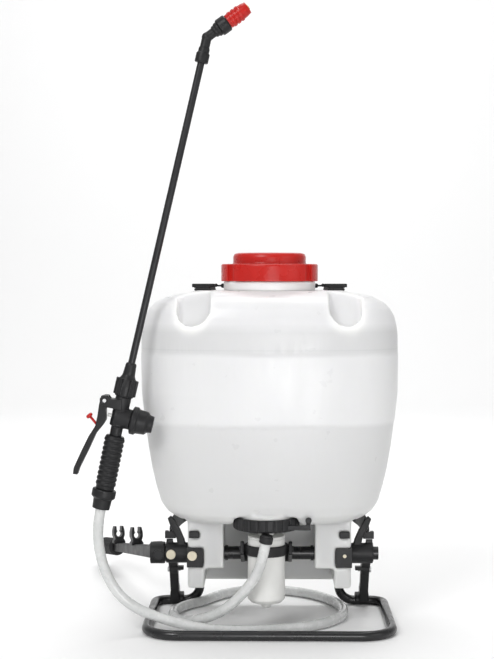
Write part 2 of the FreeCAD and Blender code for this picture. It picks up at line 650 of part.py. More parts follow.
def make_drive():
    """Everything that rocks with the lever shaft."""
    half = s.shaft_half_length
    pin_hole = rod("LockPinHole", 2.5, 40, (s.lever_hub_x - 4, s.shaft_y - 20, s.shaft_z), Y_AXIS)
    shaft = rod("ShaftBar", s.shaft_radius, half * 2 - 6, (-half, s.shaft_y, s.shaft_z), X_AXIS)
    collars = [rod("ShaftCollar%d" % side, s.shaft_radius + 1.5, 4, (59 * side - 2, s.shaft_y,
        s.shaft_z), X_AXIS)
               for side in (-1, 1)]
    keep(cut("PumpShaft", fuse("ShaftWhole", shaft, *collars), pin_hole), "pump_shaft")

    arm_angle = math.radians(18)
    reach = s.shaft_y.number - s.pump_y.number
    forward = V(0, -math.cos(arm_angle), math.sin(arm_angle))
    upward = V(0, math.sin(arm_angle), math.cos(arm_angle))
    arms = []
    slots = []
    for side in (-1, 1):
        centre = s.pump_x + 32.5 * side
        flat = frame_of((centre, s.shaft_y, s.shaft_z), forward, upward)
        label = "Left" if side < 0 else "Right"
        arms.append(plate("YokeArm" + label, [
            (-8, -12), (8, -12), (34, -9.5), (52, -9.5), (54, -7), (54, 7), (52, 9.5), (34, 9.5),
            (8, 12), (-8, 12)],
            5, flat))
        slots.append(plate("YokeSlot" + label, [
            (reach - 5.5, -5), (reach + 7.5, -5), (reach + 7.5, 5), (reach - 5.5, 5)], 9, flat))
    hub = rod("YokeHub", 12, 70, (s.pump_x - 35, s.shaft_y, s.shaft_z), X_AXIS)
    relief = rod("YokeRelief", s.cylinder_radius + 2.5, 90, pump_axis(60))
    bore = rod("YokeBore", s.shaft_radius, 90, (s.pump_x - 45, s.shaft_y, s.shaft_z), X_AXIS)
    keep(cut("PumpYoke", fuse("YokeWhole", hub, *arms), bore, relief, *slots), "pump_yoke")

    base = lever_frame()
    arm = plate("LeverBar", [
        (-6, -13), (10, -13), (46, -9), (150, -8), (308, -6.5), (404, -6.5), (404, 6.5), (308, 6.5),
        (150, 8), (60, 9), (50, 12), (30, 15), (20, 15), (6, 14), (-6, 13)], s.lever_thickness,
        base.multiply(FreeCAD.Placement(V(0, 0, 0), FreeCAD.Rotation(X_AXIS, 90))))
    hub = rod("LeverHub", 15, 20, (s.lever_hub_x + 4, s.shaft_y, s.shaft_z), -X_AXIS)
    bore = rod("LeverBore", s.shaft_radius, 60, (s.lever_hub_x + 30, s.shaft_y, s.shaft_z), -X_AXIS)
    face = block("LeverFace", (30, 60, 60), (s.lever_hub_x + 4, s.shaft_y - 30, s.shaft_z - 30))
    keep(cut("LeverArm", fuse("LeverWhole", arm, hub), bore, face, pin_hole), "lever_arm")

    rings = []
    grip_start = 312
    ring_pitch = 8
    ring_count = 12
    for number in range(ring_count):
        low = grip_start + ring_pitch * number
        rings += [(12.2, low), (13.6, low + 2), (13.6, low + 5.5), (12.2, low + 7.5)]
    grip_end = grip_start + ring_pitch * ring_count + 4
    outline = [(0, grip_start)] + rings + [(12, grip_end - 2), (8, grip_end), (0, grip_end)]
    sleeve = turned("GripSleeve", outline, (0, 0, 0))
    sleeve.Placement = base.multiply(FreeCAD.Placement(V(0, 0, 0), FreeCAD.Rotation(Z_AXIS, X_AXIS)))
    core = doc.addObject("Part::Box", "GripCore")
    bind(core, Length=100, Width=s.lever_thickness, Height=13)
    core.Placement = base.multiply(
        FreeCAD.Placement(vector(304, s.lever_thickness * -0.5, -6.5), FreeCAD.Rotation()))
    keep(cut("LeverGrip", sleeve, core), "lever_grip")

    for start, label in ((s.clip_near, "near"), (s.clip_far, "far")):
        make_clip(start, label, base, arm)
    pin = rod("LockPinHead", 7, 4, (s.lever_hub_x - 4, s.shaft_y - 19, s.shaft_z), Y_AXIS)
    shank = rod("LockPinShank", 2.5, 30, (s.lever_hub_x - 4, s.shaft_y - 15, s.shaft_z), Y_AXIS)
    keep(fuse("LeverPin", pin, shank), "lever_pin")


def make_clip(start, label, base, arm):
    """An upright spring clip that the lance tube snaps into."""
    name = "Clip" + label.title()
    height = s.clip_height
    along = frame_of((start, 0, 0), Y_AXIS, Z_AXIS)
    horn = [(-9, 6), (9, 6), (9, 10), (6.5, 13), (8.6, 19), (8.6, 25), (6.6, 33), (4.2, 33), (3.9, 26),
            (0, 24), (-3.9, 26), (-4.2, 33), (-6.6, 33), (-8.6, 25), (-8.6, 19), (-6.5, 13), (-9, 10)]
    form = plate(name + "Form", horn, s.clip_length, base.multiply(along))
    bore = rod(name + "Bore", s.clip_bore_radius, 40, (start - 20, 0, height), X_AXIS, base)
    keep(cut(name, form, bore, arm), "wand_clip_" + label)


# ---------------------------------------------------------------- lance

LANCE_UP = V(math.sin(math.radians(s.lance_tilt.number)), 0, math.cos(math.radians(s.lance_tilt.number)))
LANCE_CROSS = V(LANCE_UP.z, 0, -LANCE_UP.x)
GRIP_DOWN = V(-math.sin(math.radians(s.grip_tilt.number)), 0, -math.cos(math.radians(s.grip_tilt.number)))
NOZZLE_OUT = V(math.cos(math.radians(s.nozzle_rise.number)), 0,
    math.sin(math.radians(s.nozzle_rise.number)))
VALVE = vector(s.valve_x, s.lance_y, s.valve_z)
ELBOW = VALVE + LANCE_UP * s.elbow_distance.number
HOSE_MOUTH = VALVE + GRIP_DOWN * s.hose_nut_end.number
PIVOT = vector(s.trigger_x, s.lance_y, s.trigger_z)


def make_valve():
    barrel = rod("ValveBarrel", s.valve_radius, 40, VALVE - LANCE_UP * 12, LANCE_UP)
    neck = rod("ValveNeck", s.valve_radius - 2.5, 26, VALVE, GRIP_DOWN)
    chamber = rod("ValveChamber", 13.5, 22, VALVE - LANCE_CROSS * 6, LANCE_CROSS)
    ear_frame = frame_of(VALVE, X_AXIS, Z_AXIS)
    ear_outline = [(4, 24), (-10.6, 25), (-14, 29.5), (-20, 29.5), (-24.5, 26), (-24.5, 18),
        (-16, 14), (4, 10)]
    ears = plate("ValveEars", ear_outline, s.trigger_width + 9, ear_frame)
    gap = plate("ValveEarGap", [(-10.5, 36), (-30, 36), (-30, 5),
        (-10.5, 5)], s.trigger_width + 1, ear_frame)
    pin_hole = rod("PinHole", 2.5, 40, PIVOT - Y_AXIS * 20, Y_AXIS)
    flow = rod("ValveFlow", 4, 28, VALVE + LANCE_UP * 2, LANCE_UP)
    inflow = rod("ValveInflow", 4, 30, VALVE, GRIP_DOWN)
    spring_room = rod("SpringRoom", 9, 20, VALVE - LANCE_CROSS * 0.5, LANCE_CROSS)
    stem_hole = rod("StemHole", 2.5 + s.running_gap, 40, VALVE - LANCE_CROSS * 30, LANCE_CROSS)
    whole = fuse("ValveWhole", barrel, neck, chamber, cut("ValveEarPair", ears, gap))
    keep(cut("ValveBody", whole, pin_hole, flow, inflow, spring_room, stem_hole), "valve_body")
    keep(rod("TriggerPin", 2.5, s.trigger_width + 11,
        PIVOT - Y_AXIS * (s.trigger_width.number / 2 + 5.5), Y_AXIS),
         "trigger_pin")
    keep(turned("ValveCap", [
        (0, 30), (0, 27), (9, 25), (9, 0), (15, 0), (18.6, 1.5), (18.6, 7.5), (16.4, 9),
        (15.4, 21), (12, 24),
        (11, 30)], VALVE + LANCE_CROSS * 16.1, LANCE_CROSS), "valve_cap")


def make_stem_and_spring():
    keep(turned("ValveStem", [
        (0, -15.2), (2.5, -15.2), (2.5, 2), (8.6, 2), (8.6, 5.5),
        (0, 5.5)], VALVE, LANCE_CROSS), "valve_stem")
    wire_radius = 0.7
    coil_radius = 6
    turns = 5
    start = 6.4
    length = 30
    helix = Part.makeHelix(length / turns, length, coil_radius)
    profile = Part.Wire([Part.makeCircle(wire_radius, V(coil_radius, 0, 0), Y_AXIS)])
    coil = Part.Wire(helix.Edges).makePipeShell([profile], True, True)
    spring = solid("ValveSpring", coil)
    place(spring, VALVE + LANCE_CROSS * start, LANCE_CROSS)
    keep(spring, "valve_spring")


def make_trigger():
    """A curved finger lever that swings on its pin and pushes the valve stem in."""
    flat = frame_of(PIVOT, X_AXIS, Z_AXIS)
    lever = plate("TriggerForm", [
        (-5, 6), (4, 6), (6, 0), (1.5, -12), (1.5, -26), (-2, -32), (-12, -44), (-22, -66), (-34, -90),
        (-37, -99), (-43, -98), (-42, -90), (-31, -66), (-22, -48), (-13, -34), (-10, -20), (-8, -6)],
        s.trigger_width, flat)
    pin = rod("TriggerBore", 2.5 + s.running_gap, 40, PIVOT - Y_AXIS * 20, Y_AXIS)
    lock_hole = rod("LockHole", 1.8 + s.running_gap, 60, LOCK_HEAD - LOCK_LINE * 10, LOCK_LINE)
    keep(cut("Trigger", lever, pin, lock_hole), "trigger")


LOCK_HEAD = VALVE + V(-41, 0, 4)
LOCK_LINE = V(0.64, 0, -0.77).normalize()


def make_trigger_lock():
    keep(turned("TriggerLock", [
        (0, 0), (3, 0), (4.6, 1.2), (4.6, 4), (1.8, 5.2), (1.8, 25), (0, 25)], LOCK_HEAD, LOCK_LINE),
        "trigger_lock")


def make_grip():
    rib_pitch = 6.6
    rib_count = 10
    start = s.grip_start + 0.1
    outline = [(8.1, start), (11.5, start), (12.8, start + 2)]
    for number in range(rib_count):
        low = s.grip_start + 3 + rib_pitch * number
        outline += [(12.3, low), (13.6, low + 1), (13.6, low + 4.2), (12.3, low + 5.2)]
    outline += [(12.3, s.grip_end), (9, s.grip_end), (9, s.grip_start + 6), (8.1, s.grip_start + 6)]
    keep(turned("ValveGrip", outline, VALVE, GRIP_DOWN), "valve_grip")
    start = s.grip_start + 8
    keep(turned("GripFilter", [
        (5.5, start), (8.9, start), (8.9, start + 3), (7, start + 4), (7, start + 52), (0, start + 54),
        (0, start + 52), (5.5, start + 50)], VALVE, GRIP_DOWN), "grip_filter")
    low = s.grip_end + 0.05
    nut = turned("HoseNutForm", [
        (4.6, low), (15.4, low), (16, low + 1.5), (16, low + 10), (14.5, low + 11.5), (12.4, low + 13),
        (11.6, s.hose_nut_end), (7.6, s.hose_nut_end), (4.6, s.hose_nut_end)], VALVE, GRIP_DOWN)
    keep(nut, "hose_nut")


def make_lance_tube():
    start = s.lance_start
    tube = rod("LanceTubeOuter", s.lance_radius, s.lance_end - start,
        VALVE + LANCE_UP * start.number, LANCE_UP)
    bore = rod("LanceTubeBore", s.lance_bore_radius, s.lance_end, VALVE, LANCE_UP)
    keep(cut("LanceTube", tube, bore), "lance_tube")
    form = turned("WandNutForm", [
        (s.lance_radius, 28.1), (12, 28.1), (12.6, 30), (12.6, 42), (11, 52), (8.4, 57), (7.2, 72),
        (6, 74), (s.lance_radius, 74)], VALVE, LANCE_UP)
    wings = []
    for number in range(6):
        wing = block("WandNutWing%d" % number, (4, 3.4, 22), (11, -1.7, 30))
        turn = FreeCAD.Placement(VALVE, FreeCAD.Rotation(Z_AXIS, LANCE_UP))
        spin = FreeCAD.Placement(V(0, 0, 0), FreeCAD.Rotation(Z_AXIS, 60 * number))
        wing.Placement = turn.multiply(spin).multiply(wing.Placement)
        wings.append(wing)
    keep(fuse("WandNut", form, *wings), "wand_nut")


def make_nozzle():
    """The swivelling elbow, its nut and the cone cap that turns to set the spray."""
    gap = s.running_gap
    socket = turned("ElbowSocket", [
        (s.lance_radius + gap, -34), (8.6, -34), (9, -32.5), (9, -22), (7.4, -20), (7.4, -15), (6.4, -13),
        (6.4, 0), (0, 0), (0, -29.2), (s.lance_radius + gap, -29.2)], ELBOW, LANCE_UP)
    knee = ball("ElbowKnee", 7, ELBOW)
    arm = turned("ElbowArm", [
        (0, 0), (6.4, 0), (6.4, 11), (8, 12), (8, 15), (9.6, 16.5), (9.6, 20), (5.9, 20),
        (5.9, 36), (0, 36)],
        ELBOW, NOZZLE_OUT)
    passage = rod("ElbowPassage", 3, 30, ELBOW - LANCE_UP * 30, LANCE_UP)
    outlet = rod("ElbowOutlet", 3, 45, ELBOW, NOZZLE_OUT)
    keep(cut("NozzleElbow", fuse("ElbowWhole", socket, knee, arm), passage, outlet), "nozzle_elbow")
    keep(turned("NozzleNut", [
        (5.9, 20.1), (11, 20.1), (11.6, 21.5), (11.6, 32), (10.8, 33.5), (5.9, 33.5)], ELBOW, NOZZLE_OUT),
        "nozzle_nut")
    outline = [(5.9 + gap, 34), (9.4, 34), (9.8, 36)]
    for number in range(3):
        low = 38 + number * 6
        outline += [(9.8, low), (10.8, low + 1), (10.8, low + 4), (9.8, low + 5)]
    outline += [(9.4, 60), (8.2, 66), (4.6, 66), (4.6, 36.5), (5.9 + gap, 36.5)]
    keep(turned("NozzleCap", outline, ELBOW, NOZZLE_OUT), "nozzle_cap")
    keep(turned("SprayTip", [(0.6, 60), (4.6, 60), (4.6, 66.4), (3.4, 67.4),
        (0.6, 66)], ELBOW, NOZZLE_OUT),
         "spray_tip")


# ---------------------------------------------------------------- hose

# From the handle, over the frame's left side, once round on the ground and up to the pump's outlet.
HOSE_START = HOSE_MOUTH + GRIP_DOWN * 23.5
HOSE_END = OUTLET - OUTLET_UP * 27
HOSE_ROUTE = [
    (HOSE_MOUTH.x, HOSE_MOUTH.y, HOSE_MOUTH.z), (HOSE_START.x, HOSE_START.y, HOSE_START.z),
    (-227, -83, 112), (-218, -80, 80), (-202, -79, 53), (-178, -79, 34), (-148, -81, 23), (-113, -84, 14),
    (-77, -87, 8), (-37, -87, 7), (8, -81, 7), (49, -66, 7), (82, -39, 7), (102, -2, 7), (106, 40, 7),
    (97, 79, 7), (78, 117, 7), (48, 146, 7), (11, 162, 7), (-29, 160, 7), (-62.5, 141, 7), (-83, 110, 7),
    (-98, 82, 7), (-121, 58, 7), (-135, 24, 7), (-133, -13, 7), (-115, -46, 9), (-85, -69.5, 19),
    (-57, -81, 35), (-36, -85, 56), (-20, -88.5, 76), (HOSE_END.x, HOSE_END.y, HOSE_END.z),
    (OUTLET.x, OUTLET.y, OUTLET.z),
]
BEND_SHARE = 0.45


def make_hose():
    points = [V(*point) for point in HOSE_ROUTE]
    radii = []
    for before, corner, after in zip(points, points[1:], points[2:]):
        shorter = min(before.distanceToPoint(corner), corner.distanceToPoint(after))
        turn = (corner - before).getAngle(after - corner)
        radii.append(BEND_SHARE * shorter / math.tan(turn / 2))
    path = rounded_path(points, radii)
    tube = tube_along(path, points[1] - points[0], points[0], s.hose_radius.number,
        s.hose_bore_radius.number)
    section = math.pi * (s.hose_radius.number ** 2 - s.hose_bore_radius.number ** 2)
    print("hose bend radii", [round(radius) for radius in radii])
    print("hose length %.0f, volume over section times length %.4f"
          % (path.Length, tube.Volume / (section * path.Length)))
    keep(solid("SprayHose", tube), "spray_hose")


# ---------------------------------------------------------------- straps

def ribbon(path, width, thickness, middle):
    """A band with a smooth side view in the YZ plane, as wide as asked along X."""
    line = Part.BSplineCurve()
    line.interpolate([V(0, y, z) for y, z in path])
    first, last = line.FirstParameter, line.LastParameter
    edges = [[], []]
    steps = 3 * len(path)
    for step in range(steps + 1):
        parameter = first + (last - first) * step / steps
        across = line.tangent(parameter)[0].cross(X_AXIS).normalize()
        for side, points in zip((-0.5, 0.5), edges):
            points.append(line.value(parameter) + across * (thickness * side))
    curves = []
    for points in edges:
        curve = Part.BSplineCurve()
        curve.interpolate(points)
        curves.append(curve.toShape())
    ends = [Part.LineSegment(edges[0][index], edges[1][index]).toShape() for index in (0, -1)]
    outline = Part.Wire(Part.__sortEdges__(curves + ends))
    face = Part.Face(outline)
    face.translate(V(middle - width / 2, 0, 0))
    return face.extrude(V(width, 0, 0))


def make_straps(side, label):
    strap_x = s.strap_x.number * side
    bar = block("HookBar" + label, (30.5, 7, 5), (strap_x - 15.25, 6, 463.2))
    post = block("HookPost" + label, (19, 9, 5), (strap_x - 9.5, 5, s.tank_top))
    foot = block("HookFoot" + label, (24, 17, 2), (strap_x - 12, 1, s.tank_top))
    tip = rod("HookTip" + label, 2.4, 6, (strap_x - 18 * side, 8, 466), Y_AXIS)
    link = block("HookLink" + label, (5, 4, 3), (strap_x - 15.5 * side - 2.5, 8, 463.6))
    keep(fuse("Hook" + label, bar, post, foot, tip, link), "strap_hook_" + label.lower())

    web = ribbon([(13, 465.5), (34, 463.5), (60, 462.4), (82, 459), (97, 447), (105.5, 434)],
                 s.strap_width.number, s.webbing.number, strap_x)
    keep(solid("TopWebbing" + label, web), "top_webbing_" + label.lower())
    pad = ribbon([(107, 432), (116, 400), (123, 350), (125, 290), (121, 235), (115, 190)],
                 s.pad_width.number, s.pad_thickness.number, strap_x)
    keep(solid("ShoulderPad" + label, pad), "shoulder_pad_" + label.lower())

    near = vector(137.5 * side, -8, 0)
    far = vector(127 * side, 112, 0)
    along = (far - near).normalize()
    run = near.distanceToPoint(far)
    flat = frame_of(near, along, Z_AXIS)
    band = plate("LowerWebBand" + label, [
        (0, 116), (12, 116), (24, 120), (run, 116), (run, 141), (24, 144), (8, 134),
        (0, 134)], s.webbing, flat)
    riser = plate("LowerWebRiser" + label, [(127, 116), (127, 141), (107, 188), (77, 188), (100, 141)],
                  s.webbing, frame_of((0, 112.8, 0), X_AXIS * side, Z_AXIS))
    keep(fuse("LowerWebbing" + label, band, riser), "lower_webbing_" + label.lower())
    frame = block("BuckleFrame" + label, (15, 9, 10), (137 * side - 7.5, -9.3, 116))
    slot = block("BuckleSlot" + label, (4.4, 12, 40), (137.2 * side - 2.2, -8.2, 100))
    keep(cut("Buckle" + label, frame, slot), "strap_buckle_" + label.lower())


# ---------------------------------------------------------------- build

make_tank()
make_strainer()
make_lid()
make_frame_tube()
for bracket_side, bracket_label in ((-1, "left"), (1, "right")):
    make_bracket(bracket_side, bracket_label)
    make_straps(bracket_side, bracket_label.title())
make_shaft_bushes()
make_fasteners()
make_pump_fixed()
make_outlet()
make_pump_cylinder()
make_drive()
make_valve()
make_stem_and_spring()
make_trigger()
make_trigger_lock()
make_grip()
make_lance_tube()
make_nozzle()
make_hose()
doc.recompute()

failed = [item.Name for item in doc.Objects if "Invalid" in item.State or "Error" in item.State]
failed += [item.Label for item in NODES if item.Shape.isNull() or not item.Shape.isValid()]
if failed:
    raise RuntimeError("failed objects: " + ", ".join(failed))
os.makedirs("parts", exist_ok=True)
for item in NODES:
    item.Shape.exportStep("parts/" + item.Label + ".step")
print("wrote", len(NODES), "parts")
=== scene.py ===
"""Looks of the backpack sprayer: moulded edges, soft straps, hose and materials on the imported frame."""
import json
import math

import bmesh
import bpy
from mathutils import Matrix, Vector


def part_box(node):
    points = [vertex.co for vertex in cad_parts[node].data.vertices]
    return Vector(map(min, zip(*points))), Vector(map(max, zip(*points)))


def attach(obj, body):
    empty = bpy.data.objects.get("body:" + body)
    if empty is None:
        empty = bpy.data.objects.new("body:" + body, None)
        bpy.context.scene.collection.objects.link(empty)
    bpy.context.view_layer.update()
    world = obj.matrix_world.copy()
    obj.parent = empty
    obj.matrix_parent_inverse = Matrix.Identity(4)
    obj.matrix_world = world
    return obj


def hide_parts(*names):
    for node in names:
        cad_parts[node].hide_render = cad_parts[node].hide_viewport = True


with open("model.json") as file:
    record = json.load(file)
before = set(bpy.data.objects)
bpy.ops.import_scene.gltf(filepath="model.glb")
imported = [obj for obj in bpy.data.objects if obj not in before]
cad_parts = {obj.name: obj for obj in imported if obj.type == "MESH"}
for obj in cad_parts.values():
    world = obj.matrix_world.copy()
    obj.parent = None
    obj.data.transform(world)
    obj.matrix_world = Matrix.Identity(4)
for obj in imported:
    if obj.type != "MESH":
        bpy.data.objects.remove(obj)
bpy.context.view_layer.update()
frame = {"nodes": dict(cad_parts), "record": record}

NODE_SLOTS = {node: item.data.materials[0].name for node, item in frame["nodes"].items()}
MM = 0.001


def mm(*lengths):
    """A point or vector given in millimetres, like the design's own sizes."""
    return Vector(length * MM for length in lengths)


# ---------------------------------------------------------------- camera

CAMERA_PLACE = mm(0, -2000, 487)
CAMERA_AIM = mm(-31, 0, 405)
camera = bpy.data.objects.new("Camera", bpy.data.cameras.new("Camera"))
bpy.context.scene.collection.objects.link(camera)
camera.location = CAMERA_PLACE
camera.rotation_euler = (CAMERA_AIM - CAMERA_PLACE).to_track_quat("-Z", "Y").to_euler()
camera.data.sensor_width = 36
camera.data.lens = 79.2
bpy.context.scene.camera = camera


# ---------------------------------------------------------------- materials

def shader(name, colour, roughness, **values):
    """A new material and its principled shader, with plain values on the shader's own sockets."""
    material = bpy.data.materials.new(name)
    material.use_nodes = True
    principled = material.node_tree.nodes["Principled BSDF"]
    principled.inputs["Base Color"].default_value = (*colour, 1)
    principled.inputs["Roughness"].default_value = roughness
    for socket, value in values.items():
        principled.inputs[socket.replace("_", " ")].default_value = value
    return material, principled


def place_of(material):
    """A socket with the point on the object, in metres."""
    return material.node_tree.nodes.new("ShaderNodeTexCoord").outputs["Object"]


def noise(material, scale, detail=3, stretch=None):
    """Noise over the object, with so many spots to the metre, and stretched where it is scaled down."""
    nodes, links = material.node_tree.nodes, material.node_tree.links
    texture = nodes.new("ShaderNodeTexNoise")
    texture.inputs["Scale"].default_value = scale
    texture.inputs["Detail"].default_value = detail
    point = place_of(material)
    if stretch:
        mapping = nodes.new("ShaderNodeMapping")
        mapping.inputs["Scale"].default_value = stretch
        links.new(point, mapping.inputs["Vector"])
        point = mapping.outputs["Vector"]
    links.new(point, texture.inputs["Vector"])
    return texture.outputs["Fac"]


def spread(material, value, low, high, start=0.3, stop=0.7):
    """Maps a value between start and stop to the range from low to high."""
    ramp = material.node_tree.nodes.new("ShaderNodeMapRange")
    for socket, number in (("From Min", start), ("From Max", stop), ("To Min", low), ("To Max", high)):
        ramp.inputs[socket].default_value = number
    material.node_tree.links.new(value, ramp.inputs["Value"])
    return ramp.outputs["Result"]


def blend_colours(material, factor, colour_a, colour_b):
    """A blend of two colours, each given as numbers or as a socket."""
    mix = material.node_tree.nodes.new("ShaderNodeMix")
    mix.data_type = "RGBA"
    material.node_tree.links.new(factor, mix.inputs["Factor"])
    for name, colour in (("A", colour_a), ("B", colour_b)):
        socket = [i for i in mix.inputs if i.name == name and i.type == "RGBA"][0]
        if isinstance(colour, bpy.types.NodeSocket):
            material.node_tree.links.new(colour, socket)
        else:
            socket.default_value = (*colour, 1)
    return [o for o in mix.outputs if o.type == "RGBA"][0]


def math_node(material, operation, *values):
    """A sum on one or two values, each given as a number or as a socket."""
    node = material.node_tree.nodes.new("ShaderNodeMath")
    node.operation = operation
    for socket, value in zip(node.inputs, values):
        if isinstance(value, bpy.types.NodeSocket):
            material.node_tree.links.new(value, socket)
        else:
            socket.default_value = value
    return node.outputs[0]


def add_bump(material, principled, height, distance, strength=1.0):
    """Adds a relief, in metres at full height, over any relief that the shader already has."""
    bump = material.node_tree.nodes.new("ShaderNodeBump")
    bump.inputs["Distance"].default_value = distance
    bump.inputs["Strength"].default_value = strength
    material.node_tree.links.new(height, bump.inputs["Height"])
    if principled.inputs["Normal"].links:
        earlier = principled.inputs["Normal"].links[0].from_socket
        material.node_tree.links.new(earlier, bump.inputs["Normal"])
    material.node_tree.links.new(bump.outputs["Normal"], principled.inputs["Normal"])


def plastic(name, colour, roughness, shade=0.75, grain=2500, grain_depth=0.00004, **values):
    """Moulded plastic: slight cloudiness, uneven gloss and a fine skin texture."""
    material, principled = shader(name, colour, roughness, **values)
    links = material.node_tree.links
    darker = tuple(part * shade for part in colour)
    cloud = spread(material, noise(material, 22, 4), 0, 1)
    links.new(blend_colours(material, cloud, colour, darker), principled.inputs["Base Color"])
    scuff = spread(material, noise(material, 60, 5), roughness - 0.06, roughness + 0.1)
    links.new(scuff, principled.inputs["Roughness"])
    add_bump(material, principled, noise(material, grain, 2), grain_depth, 0.6)
    return material


def metal(name, colour, roughness):
    """Turned metal with fine rings of polish and a few dull patches."""
    material, principled = shader(name, colour, roughness, Metallic=1.0)
    links = material.node_tree.links
    dull = spread(material, noise(material, 90, 4), roughness, roughness + 0.22)
    links.new(dull, principled.inputs["Roughness"])
    add_bump(material, principled, noise(material, 900, 2, (0.1, 0.1, 1)), 0.00003, 0.5)
    return material


def woven(name, colour, thread, depth, roughness=0.8, sheen=0.3):
    """Two crossed sets of threads, a thread apart, with fuzz between them."""
    material, principled = shader(name, colour, roughness, Sheen_Weight=sheen, Sheen_Roughness=0.4)
    nodes, links = material.node_tree.nodes, material.node_tree.links
    place = place_of(material)
    rows = []
    for direction in ("X", "Z"):
        wave = nodes.new("ShaderNodeTexWave")
        wave.bands_direction = direction
        wave.inputs["Scale"].default_value = 0.314 / thread
        wave.inputs["Distortion"].default_value = 0.6
        wave.inputs["Detail"].default_value = 1
        links.new(place, wave.inputs["Vector"])
        rows.append(wave.outputs["Fac"])
    weave = math_node(material, "MULTIPLY", rows[0], rows[1])
    fuzz = noise(material, 700, 3)
    height = math_node(material, "ADD", weave, math_node(material, "MULTIPLY", fuzz, 0.35))
    # A paler tone, used both for random faded patches and for the painted highlight on the raised threads.
    light = tuple(min(1, part * 1.9 + 0.006) for part in colour)
    faded = blend_colours(material, spread(material, noise(material, 25, 3), 0, 0.5), colour, light)
    # Painted highlight on the raised threads and painted shade in the gaps between them, taken from the
    # weave's height.
    links.new(blend_colours(material, spread(material, weave, 0, 0.75, 0, 1), faded, light),
              principled.inputs["Base Color"])
    add_bump(material, principled, height, depth)
    return material


TANK_BOTTOM, TANK_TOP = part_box("tank")
BAND_LOW = 281 * MM
BAND_HIGH = 374 * MM
# Height of a thin line of painted shade along the crease above the band.
SHADE_LINE_HEIGHT = 381 * MM
# Heights over which the shoulder's painted light fades in.
LIT_SHOULDER_LOW = 404 * MM
LIT_SHOULDER_HIGH = 416 * MM
# Heights between which the tank's painted shade fades out upwards.
PAINTED_SHADE_FULL = 60 * MM
PAINTED_SHADE_END = 300 * MM


def tank_plastic():
    """Blow-moulded milky polyethylene: light passes a little, and the wall varies in thickness. Its colour
    also holds painted shade, darker towards the bottom and in a thin line above the band, and painted light
    on the band and the shoulder.
    """
    material, principled = shader("tank_plastic", (0.8, 0.8, 0.785), 0.33, Subsurface_Weight=0.6,
                                  Subsurface_Radius=(0.02, 0.02, 0.018), Subsurface_Scale=1.0)
    nodes, links = material.node_tree.nodes, material.node_tree.links
    split = nodes.new("ShaderNodeSeparateXYZ")
    links.new(place_of(material), split.inputs["Vector"])
    height = split.outputs["Z"]
    # Painted shade: the tank's colour darkens towards the bottom.
    painted_low_shade = spread(material, height, 0, 1, PAINTED_SHADE_FULL, PAINTED_SHADE_END)
    colour = blend_colours(material, painted_low_shade, (0.58, 0.585, 0.57), (0.74, 0.742, 0.725))
    # Painted light: the raised band is painted lighter, as if it caught more light.
    above = spread(material, height, 0, 1, BAND_LOW - 4 * MM, BAND_LOW + 3 * MM)
    below = spread(material, height, 1, 0, BAND_HIGH - 3 * MM, BAND_HIGH + 4 * MM)
    band_painted_light = math_node(material, "MULTIPLY", above, below)
    colour = blend_colours(material, band_painted_light, colour, (0.84, 0.842, 0.825))
    # Painted shade: a thin dark line along the crease just above the band.
    above = spread(material, height, 0, 0.5, SHADE_LINE_HEIGHT - 1.4 * MM, SHADE_LINE_HEIGHT - 0.4 * MM)
    below = spread(material, height, 1, 0, SHADE_LINE_HEIGHT + 0.4 * MM, SHADE_LINE_HEIGHT + 1.4 * MM)
    line = math_node(material, "MULTIPLY", above, below)
    colour = blend_colours(material, line, colour, (0.66, 0.67, 0.65))
    # Painted light: the upward-facing shoulder is painted lighter.
    shoulder = spread(material, height, 0, 1, LIT_SHOULDER_LOW, LIT_SHOULDER_HIGH)
    colour = blend_colours(material, shoulder, colour, (0.9, 0.9, 0.885))
    cloud = spread(material, noise(material, 9, 5, (1, 1, 0.4)), 0, 0.35)
    colour = blend_colours(material, cloud, colour, (0.72, 0.725, 0.705))
    links.new(colour, principled.inputs["Base Color"])
    links.new(spread(material, noise(material, 45, 5), 0.27, 0.43), principled.inputs["Roughness"])
    add_bump(material, principled, noise(material, 30, 3, (1, 1, 0.3)), 0.0012, 0.35)
    add_bump(material, principled, noise(material, 1400, 2), 0.00005, 0.5)
    return material


def hose_vinyl():
    """Milky clear vinyl, a little cloudy, with a smooth skin."""
    material, principled = shader("hose_vinyl", (0.6, 0.605, 0.6), 0.25, Subsurface_Weight=0.6,
                                  Subsurface_Radius=(0.008, 0.008, 0.008), Subsurface_Scale=1.0,
                                  Coat_Weight=0.4, Coat_Roughness=0.12)
    links = material.node_tree.links
    cloud = spread(material, noise(material, 40, 4), 0, 1)
    links.new(blend_colours(material, cloud, (0.63, 0.635, 0.63), (0.54, 0.55, 0.545)),
              principled.inputs["Base Color"])
    links.new(spread(material, noise(material, 90, 4), 0.2, 0.34), principled.inputs["Roughness"])
    add_bump(material, principled, noise(material, 160, 2), 0.00003, 0.3)
    return material


